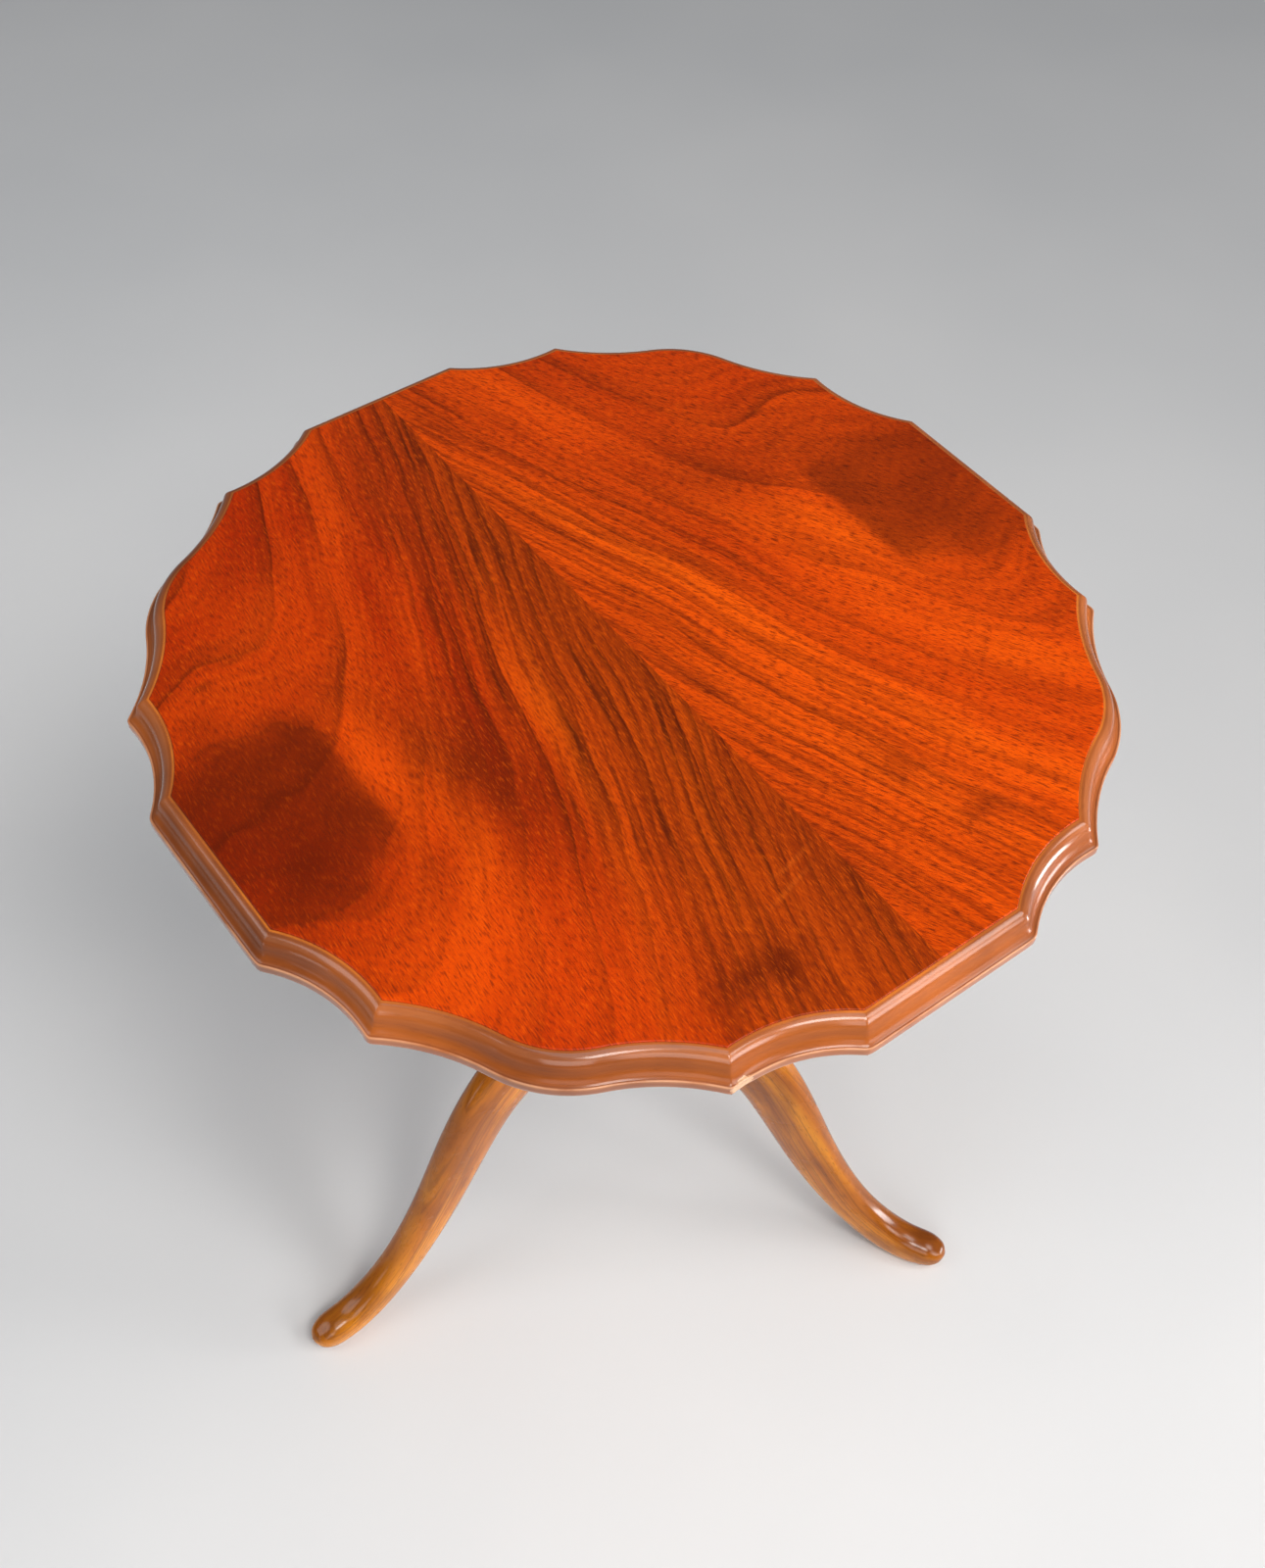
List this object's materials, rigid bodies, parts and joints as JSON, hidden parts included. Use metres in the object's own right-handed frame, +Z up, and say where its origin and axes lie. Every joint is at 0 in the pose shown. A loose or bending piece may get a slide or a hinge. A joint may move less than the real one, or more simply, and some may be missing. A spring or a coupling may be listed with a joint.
{
  "type": "pie-crust pedestal side table",
  "caption": "Small occasional table with a scalloped moulded top in book-matched veneer, on a turned column with a tripod of swept cabriole legs.",
  "frame": {"origin": "on the floor under the column's axis, at the middle of the table", "axes": "+Z up; X and Y through the middles of the rounded lobes of the top, with the pictured side towards -Y"},
  "size_m": [0.4534, 0.4534, 0.473],
  "materials": {
    "face_veneer": "gloss lacquer",
    "moulded_edge": "stained, satin lacquer",
    "leg_wood": "stained, satin lacquer",
    "hidden_wood": "thin stain, matt",
    "dowel_wood": "raw",
    "plate_steel": "dull",
    "screw_brass": "aged"
  },
  "bodies": {
    "root": {"top_board": "moulded_edge", "veneer_leaf_left": "face_veneer", "veneer_leaf_right": "face_veneer", "backing_veneer": "hidden_wood", "top_block": "hidden_wood", "block_screws": "screw_brass", "column": "leg_wood", "leg_front_left": "leg_wood", "leg_front_right": "leg_wood", "leg_back": "leg_wood", "leg_dowels": "dowel_wood", "tripod_plate": "plate_steel", "plate_screws": "screw_brass"}
  },
  "joints": []
}
